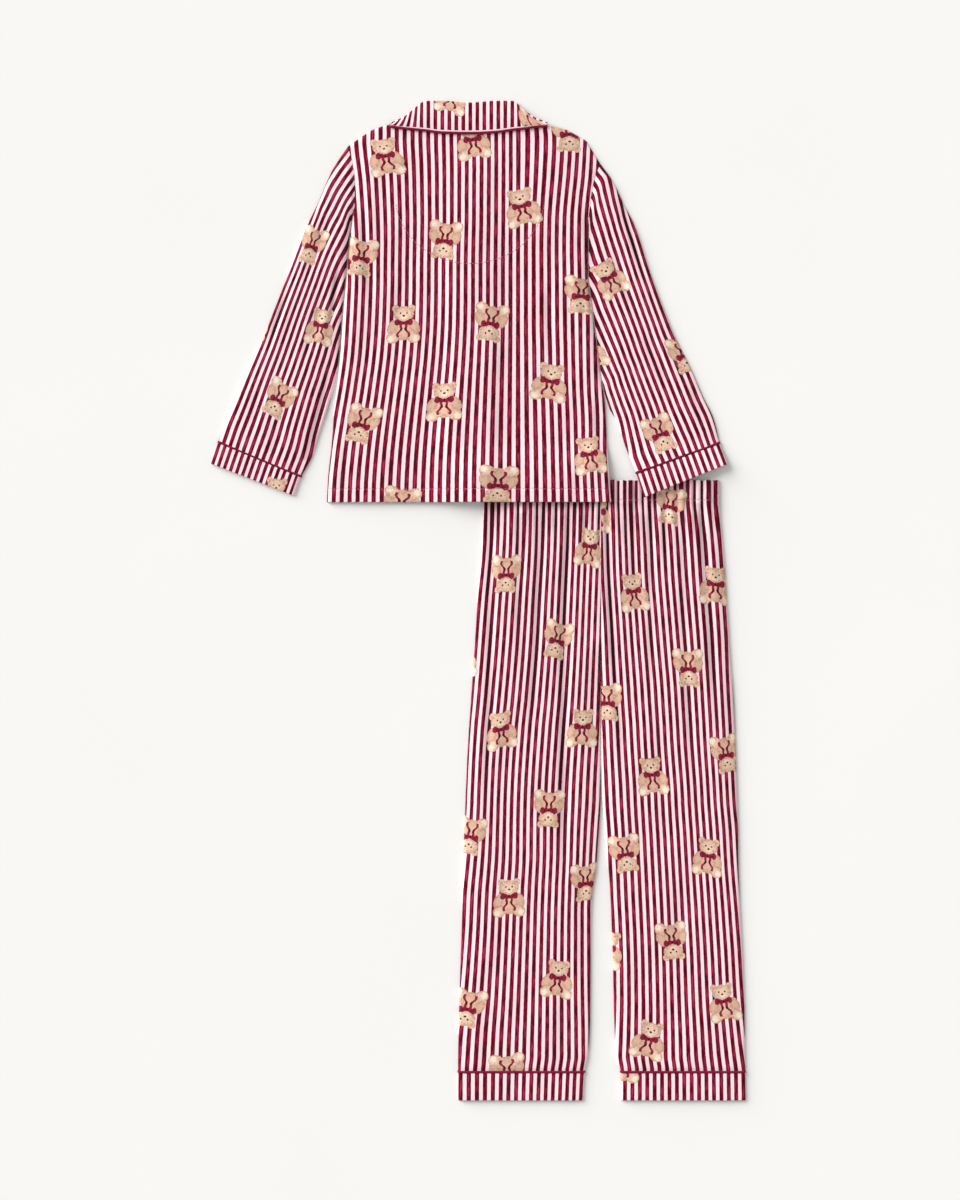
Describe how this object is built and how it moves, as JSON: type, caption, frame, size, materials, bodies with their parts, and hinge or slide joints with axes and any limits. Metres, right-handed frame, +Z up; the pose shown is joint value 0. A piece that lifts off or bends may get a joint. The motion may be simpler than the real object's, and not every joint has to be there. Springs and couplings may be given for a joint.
{
  "type": "pyjama set",
  "caption": "Child's pyjama set laid flat with its back up: a collared, long-sleeved striped top whose hem lies over the gathered waist of matching long trousers.",
  "frame": {"origin": "on the surface that the set lies on, under the middle of its bounding box", "axes": "+Z up from the surface, out of the garments' backs; +Y from the trousers' hems towards the top's collar, along the garments; +X to the right as seen from above"},
  "size_m": [0.6424, 1.1994, 0.0139],
  "materials": {
    "striped_cotton": "brushed cotton, burgundy and white candy stripe with a small tossed teddy bear repeat, matte",
    "piping": "dark burgundy corded piping, matte",
    "button": "plain pearly button"
  },
  "bodies": {
    "root": {"button_1": "button", "button_2": "button", "button_3": "button", "button_4": "button", "button_5": "button", "collar_back": "striped_cotton", "collar_front_left": "striped_cotton", "collar_front_right": "striped_cotton", "collar_piping": "piping", "cuff_left": "striped_cotton", "cuff_piping_left": "piping", "cuff_piping_right": "piping", "cuff_right": "striped_cotton", "hem_band_left": "striped_cotton", "hem_band_right": "striped_cotton", "hem_piping_left": "piping", "hem_piping_right": "piping", "leg_left_back": "striped_cotton", "leg_left_front": "striped_cotton", "leg_right_back": "striped_cotton", "leg_right_front": "striped_cotton", "sleeve_left": "striped_cotton", "sleeve_right": "striped_cotton", "top_back": "striped_cotton", "top_front_left": "striped_cotton", "top_front_right": "striped_cotton", "waistband": "striped_cotton"}
  },
  "joints": []
}
